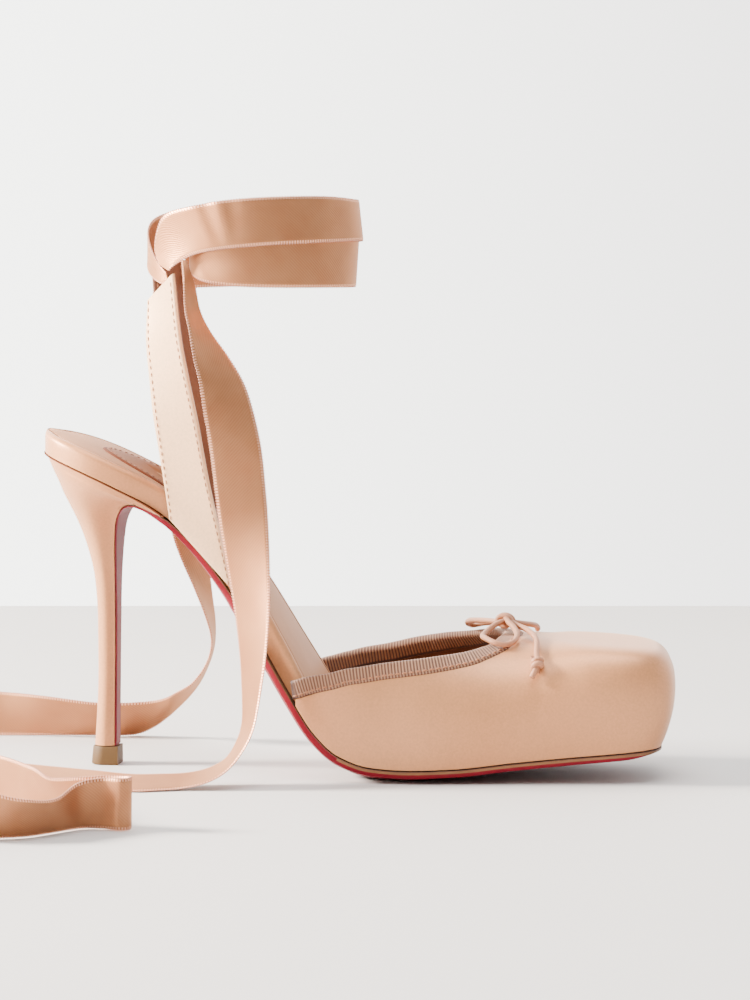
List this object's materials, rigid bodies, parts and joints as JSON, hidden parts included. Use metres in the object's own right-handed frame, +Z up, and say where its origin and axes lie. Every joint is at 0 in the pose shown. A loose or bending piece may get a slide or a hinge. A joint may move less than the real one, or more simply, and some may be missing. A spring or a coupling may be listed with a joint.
{
  "type": "bow pump",
  "caption": "High-heeled square-toe satin mule pump with a ribbed collar, a small cord bow, two rear straps and a satin ribbon that ties round the ankle.",
  "frame": {"origin": "centre of the heel tip's ground face, on the floor plane", "axes": "+X towards the toe, +Y towards the foot's inner side, +Z up; the shoe stands on z = 0"},
  "size_m": [0.2549, 0.2457, 0.1919],
  "materials": {
    "outsole": "smooth red leather sole with a dark edge",
    "heel": "satin, drawn tight over the heel",
    "top_piece": "matt khaki rubber",
    "footbed": "satin, wrapped round the board",
    "sock_lining": "matt leather, stitched round the heel pad",
    "vamp": "satin",
    "collar": "ribbed grosgrain binding with a dark lining",
    "strap_outer": "satin, stitched along both edges",
    "strap_inner": "satin, stitched along both edges",
    "ankle_turn_upper": "satin ribbon with a picot edge",
    "ankle_turn_lower": "satin ribbon with a picot edge",
    "tail_outer": "satin ribbon with a picot edge",
    "tail_inner": "satin ribbon with a picot edge",
    "bow_knot": "thin leather cord",
    "bow_loop_outer": "thin leather cord",
    "bow_loop_inner": "thin leather cord",
    "bow_end_outer": "thin leather cord",
    "bow_end_inner": "thin leather cord"
  },
  "bodies": {
    "root": {"outsole": "outsole", "heel": "heel", "top_piece": "top_piece", "footbed": "footbed", "sock_lining": "sock_lining", "vamp": "vamp", "collar": "collar", "strap_outer": "strap_outer", "strap_inner": "strap_inner", "ankle_turn_upper": "ankle_turn_upper", "ankle_turn_lower": "ankle_turn_lower", "tail_outer": "tail_outer", "tail_inner": "tail_inner", "bow_knot": "bow_knot", "bow_loop_outer": "bow_loop_outer", "bow_loop_inner": "bow_loop_inner", "bow_end_outer": "bow_end_outer", "bow_end_inner": "bow_end_inner"}
  },
  "joints": []
}
